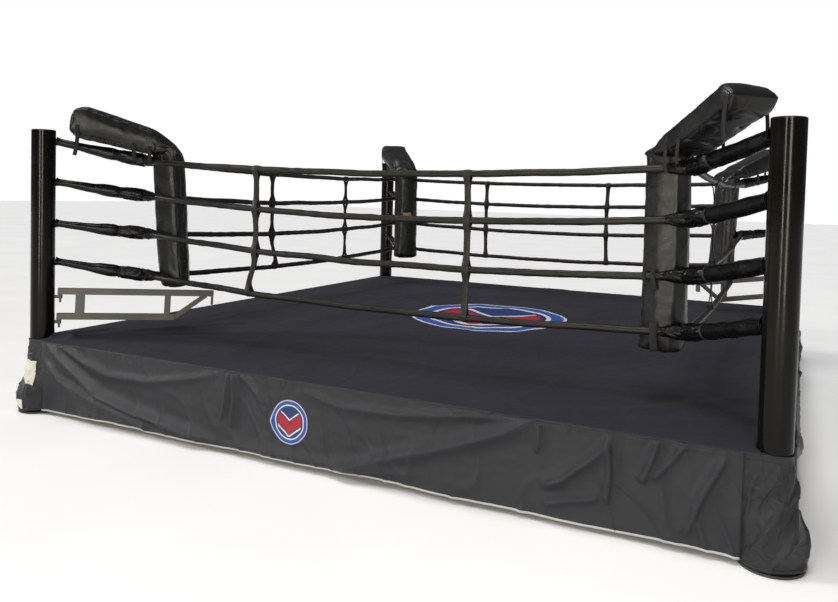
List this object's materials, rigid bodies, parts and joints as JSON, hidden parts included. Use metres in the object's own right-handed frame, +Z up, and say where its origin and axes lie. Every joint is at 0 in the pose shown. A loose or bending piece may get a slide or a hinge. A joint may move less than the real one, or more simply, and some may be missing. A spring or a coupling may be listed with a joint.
{
  "type": "boxing ring",
  "caption": "Low floor-standing boxing ring: padded deck with skirts, corner posts, covered ropes on turnbuckles, folded corner pads and two swing arms.",
  "frame": {"origin": "centre of the ring on the floor", "axes": "+Z up; +X to the right along the front side; +Y to the rear side"},
  "size_m": [5.312, 5.312, 2.287],
  "materials": {
    "post_paint": "gloss",
    "plate_paint": "satin",
    "frame_steel": "satin",
    "plywood": "matte",
    "foam": "matte",
    "canvas": "matte",
    "skirt_nylon": "satin",
    "rope_cover": "satin",
    "strap_vinyl": "satin",
    "zinc_steel": "satin",
    "sleeve_vinyl": "gloss",
    "pad_vinyl": "satin",
    "arm_paint": "matte"
  },
  "bodies": {
    "root": {"post_front_left": "post_paint", "post_front_right": "post_paint", "post_rear_right": "post_paint", "post_rear_left": "post_paint", "post_caps": "post_paint", "post_bases": "plate_paint", "perimeter_beams": "frame_steel", "beam_saddles": "frame_steel", "floor_joists": "frame_steel", "support_legs": "frame_steel", "plywood_panels": "plywood", "foam_mat": "foam", "floor_canvas": "canvas", "skirt_front": "skirt_nylon", "skirt_right": "skirt_nylon", "skirt_rear": "skirt_nylon", "skirt_left": "skirt_nylon", "corner_skirt_front_left": "skirt_nylon", "corner_skirt_front_right": "skirt_nylon", "corner_skirt_rear_right": "skirt_nylon", "corner_skirt_rear_left": "skirt_nylon", "ropes_front": "rope_cover", "ropes_right": "rope_cover", "ropes_rear": "rope_cover", "ropes_left": "rope_cover", "rope_spacers": "strap_vinyl", "junction_rings": "zinc_steel", "rope_lugs": "post_paint", "lug_pins": "zinc_steel", "turnbuckle_rods": "zinc_steel", "sleeves_front_left": "sleeve_vinyl", "sleeves_front_right": "sleeve_vinyl", "sleeves_rear_right": "sleeve_vinyl", "sleeves_rear_left": "sleeve_vinyl", "corner_pad_front_left": "pad_vinyl", "corner_pad_front_right": "pad_vinyl", "corner_pad_rear_right": "pad_vinyl", "corner_pad_rear_left": "pad_vinyl", "pad_straps": "strap_vinyl", "swing_arm_eyes": "arm_paint"},
    "swing_arm_front_left_body": {"swing_arm_front_left": "arm_paint", "swing_arm_pintles_front_left": "zinc_steel"},
    "swing_arm_rear_right_body": {"swing_arm_rear_right": "arm_paint", "swing_arm_pintles_rear_right": "zinc_steel"},
    "turnbuckle_front_left_1_body": {"turnbuckle_front_left_1": "zinc_steel"},
    "turnbuckle_front_left_2_body": {"turnbuckle_front_left_2": "zinc_steel"},
    "turnbuckle_front_left_3_body": {"turnbuckle_front_left_3": "zinc_steel"},
    "turnbuckle_front_left_4_body": {"turnbuckle_front_left_4": "zinc_steel"},
    "turnbuckle_front_right_1_body": {"turnbuckle_front_right_1": "zinc_steel"},
    "turnbuckle_front_right_2_body": {"turnbuckle_front_right_2": "zinc_steel"},
    "turnbuckle_front_right_3_body": {"turnbuckle_front_right_3": "zinc_steel"},
    "turnbuckle_front_right_4_body": {"turnbuckle_front_right_4": "zinc_steel"},
    "turnbuckle_rear_right_1_body": {"turnbuckle_rear_right_1": "zinc_steel"},
    "turnbuckle_rear_right_2_body": {"turnbuckle_rear_right_2": "zinc_steel"},
    "turnbuckle_rear_right_3_body": {"turnbuckle_rear_right_3": "zinc_steel"},
    "turnbuckle_rear_right_4_body": {"turnbuckle_rear_right_4": "zinc_steel"},
    "turnbuckle_rear_left_1_body": {"turnbuckle_rear_left_1": "zinc_steel"},
    "turnbuckle_rear_left_2_body": {"turnbuckle_rear_left_2": "zinc_steel"},
    "turnbuckle_rear_left_3_body": {"turnbuckle_rear_left_3": "zinc_steel"},
    "turnbuckle_rear_left_4_body": {"turnbuckle_rear_left_4": "zinc_steel"}
  },
  "joints": [
    {"name": "arm_swing_front_left", "type": "hinge", "parent": "root", "child": "swing_arm_front_left_body", "pos_m": [-2.41974, -2.41974, 0.776], "axis": [0.0271, 0.0271, 0.9993], "range_deg": [-90, 90]},
    {"name": "arm_swing_rear_right", "type": "hinge", "parent": "root", "child": "swing_arm_rear_right_body", "pos_m": [2.41974, 2.41974, 0.776], "axis": [-0.0271, -0.0271, 0.9993], "range_deg": [-90, 90]},
    {"name": "tension_front_left_1", "type": "hinge", "parent": "root", "child": "turnbuckle_front_left_1_body", "pos_m": [-2.23774, -2.23774, 1.03988], "axis": [0.6955, 0.6955, -0.1805], "continuous": true},
    {"name": "tension_front_left_2", "type": "hinge", "parent": "root", "child": "turnbuckle_front_left_2_body", "pos_m": [-2.23608, -2.23608, 1.34039], "axis": [0.7021, 0.7021, -0.1184], "continuous": true},
    {"name": "tension_front_left_3", "type": "hinge", "parent": "root", "child": "turnbuckle_front_left_3_body", "pos_m": [-2.23671, -2.23671, 1.63869], "axis": [0.6996, 0.6996, -0.1452], "continuous": true},
    {"name": "tension_front_left_4", "type": "hinge", "parent": "root", "child": "turnbuckle_front_left_4_body", "pos_m": [-2.23803, -2.23803, 1.92271], "axis": [0.6943, 0.6943, -0.1892], "continuous": true},
    {"name": "tension_front_right_1", "type": "hinge", "parent": "root", "child": "turnbuckle_front_right_1_body", "pos_m": [2.23988, -2.23988, 1.02573], "axis": [-0.6869, 0.6869, -0.2371], "continuous": true},
    {"name": "tension_front_right_2", "type": "hinge", "parent": "root", "child": "turnbuckle_front_right_2_body", "pos_m": [2.23833, -2.23833, 1.32054], "axis": [-0.6931, 0.6931, -0.1978], "continuous": true},
    {"name": "tension_front_right_3", "type": "hinge", "parent": "root", "child": "turnbuckle_front_right_3_body", "pos_m": [2.23803, -2.23803, 1.6277], "axis": [-0.6943, 0.6943, -0.1892], "continuous": true},
    {"name": "tension_front_right_4", "type": "hinge", "parent": "root", "child": "turnbuckle_front_right_4_body", "pos_m": [2.23897, -2.23897, 1.91624], "axis": [-0.6906, 0.6906, -0.215], "continuous": true},
    {"name": "tension_rear_right_1", "type": "hinge", "parent": "root", "child": "turnbuckle_rear_right_1_body", "pos_m": [2.23662, 2.23662, 1.04958], "axis": [-0.7, -0.7, -0.1417], "continuous": true},
    {"name": "tension_rear_right_2", "type": "hinge", "parent": "root", "child": "turnbuckle_rear_right_2_body", "pos_m": [2.23557, 2.23557, 1.34716], "axis": [-0.7041, -0.7041, -0.0914], "continuous": true},
    {"name": "tension_rear_right_3", "type": "hinge", "parent": "root", "child": "turnbuckle_rear_right_3_body", "pos_m": [2.23531, 2.23531, 1.6567], "axis": [-0.7052, -0.7052, -0.0732], "continuous": true},
    {"name": "tension_rear_right_4", "type": "hinge", "parent": "root", "child": "turnbuckle_rear_right_4_body", "pos_m": [2.23845, 2.23845, 1.91968], "axis": [-0.6926, -0.6926, -0.2013], "continuous": true},
    {"name": "tension_rear_left_1", "type": "hinge", "parent": "root", "child": "turnbuckle_rear_left_1_body", "pos_m": [-2.23803, 2.23803, 1.03771], "axis": [0.6943, -0.6943, -0.1892], "continuous": true},
    {"name": "tension_rear_left_2", "type": "hinge", "parent": "root", "child": "turnbuckle_rear_left_2_body", "pos_m": [-2.23649, 2.23649, 1.33592], "axis": [0.7005, -0.7005, -0.1363], "continuous": true},
    {"name": "tension_rear_left_3", "type": "hinge", "parent": "root", "child": "turnbuckle_rear_left_3_body", "pos_m": [-2.23649, 2.23649, 1.64092], "axis": [0.7005, -0.7005, -0.1363], "continuous": true},
    {"name": "tension_rear_left_4", "type": "hinge", "parent": "root", "child": "turnbuckle_rear_left_4_body", "pos_m": [-2.24002, 2.24002, 1.90989], "axis": [0.6864, -0.6864, -0.2404], "continuous": true}
  ]
}
